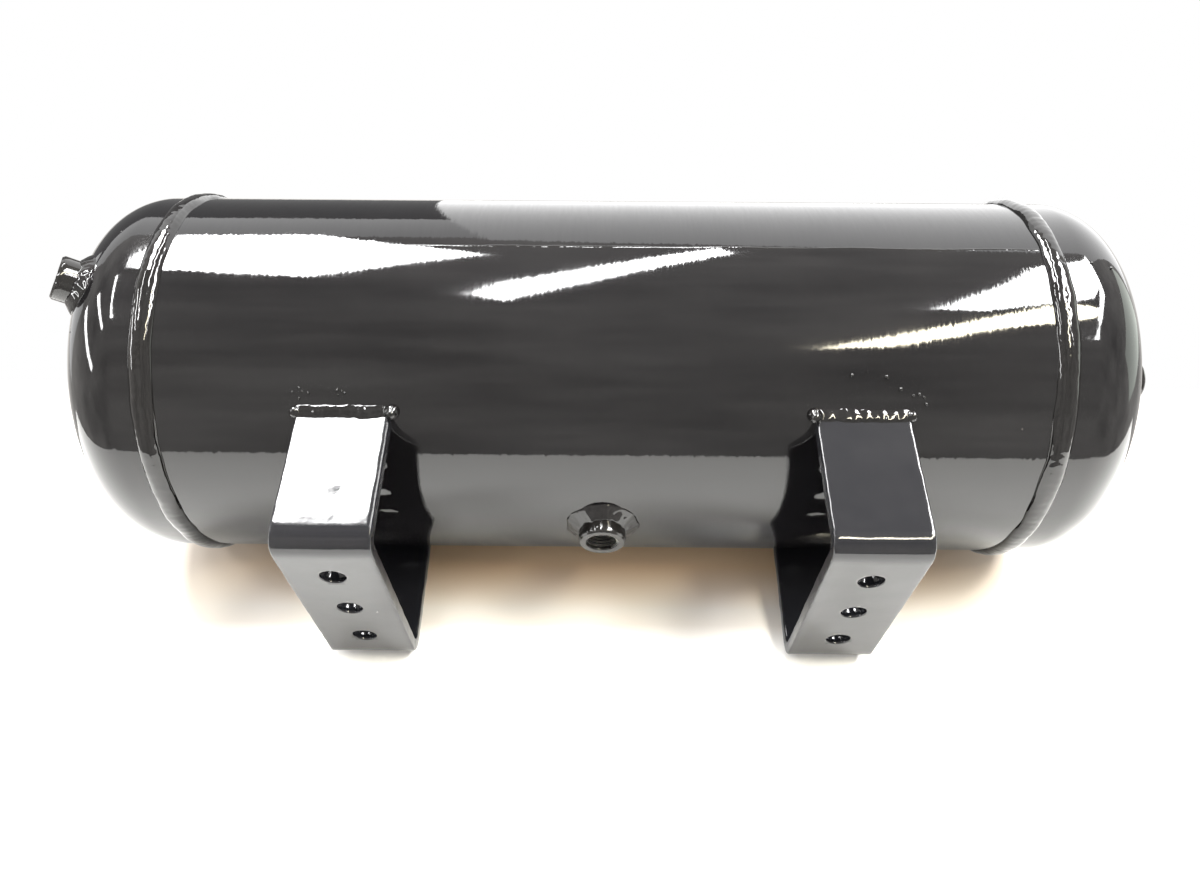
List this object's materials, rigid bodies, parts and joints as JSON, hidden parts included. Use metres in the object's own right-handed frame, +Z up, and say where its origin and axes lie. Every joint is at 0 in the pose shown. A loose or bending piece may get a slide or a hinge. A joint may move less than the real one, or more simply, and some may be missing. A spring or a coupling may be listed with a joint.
{
  "type": "air receiver tank",
  "caption": "Horizontal welded steel air receiver with dished heads, threaded ports and bent flat-bar mounting feet.",
  "frame": {"origin": "centre of the feet's bolt-hole pattern, on the undersides of the feet", "axes": "+Z up from the feet to the vessel, X along the vessel's axis, -Y the side of the front legs and the offset head port"},
  "size_m": [0.4584, 0.1564, 0.1912],
  "materials": {
    "tank_paint": "gloss black coat",
    "weld_paint": "gloss black coat over weld ripples",
    "bracket_paint": "gloss black coat over hot-rolled bar",
    "port_paint": "gloss black coat over turned steel"
  },
  "bodies": {
    "root": {"tank_shell": "tank_paint", "left_head": "tank_paint", "right_head": "tank_paint", "shell_seam_weld": "weld_paint", "left_girth_weld": "weld_paint", "right_girth_weld": "weld_paint", "left_bracket": "bracket_paint", "right_bracket": "bracket_paint", "left_front_leg_weld": "weld_paint", "left_back_leg_weld": "weld_paint", "right_front_leg_weld": "weld_paint", "right_back_leg_weld": "weld_paint", "drain_bung": "port_paint", "left_port_bung": "port_paint", "right_port_bung": "port_paint", "drain_weld": "weld_paint", "left_port_weld": "weld_paint", "right_port_weld": "weld_paint"}
  },
  "joints": []
}
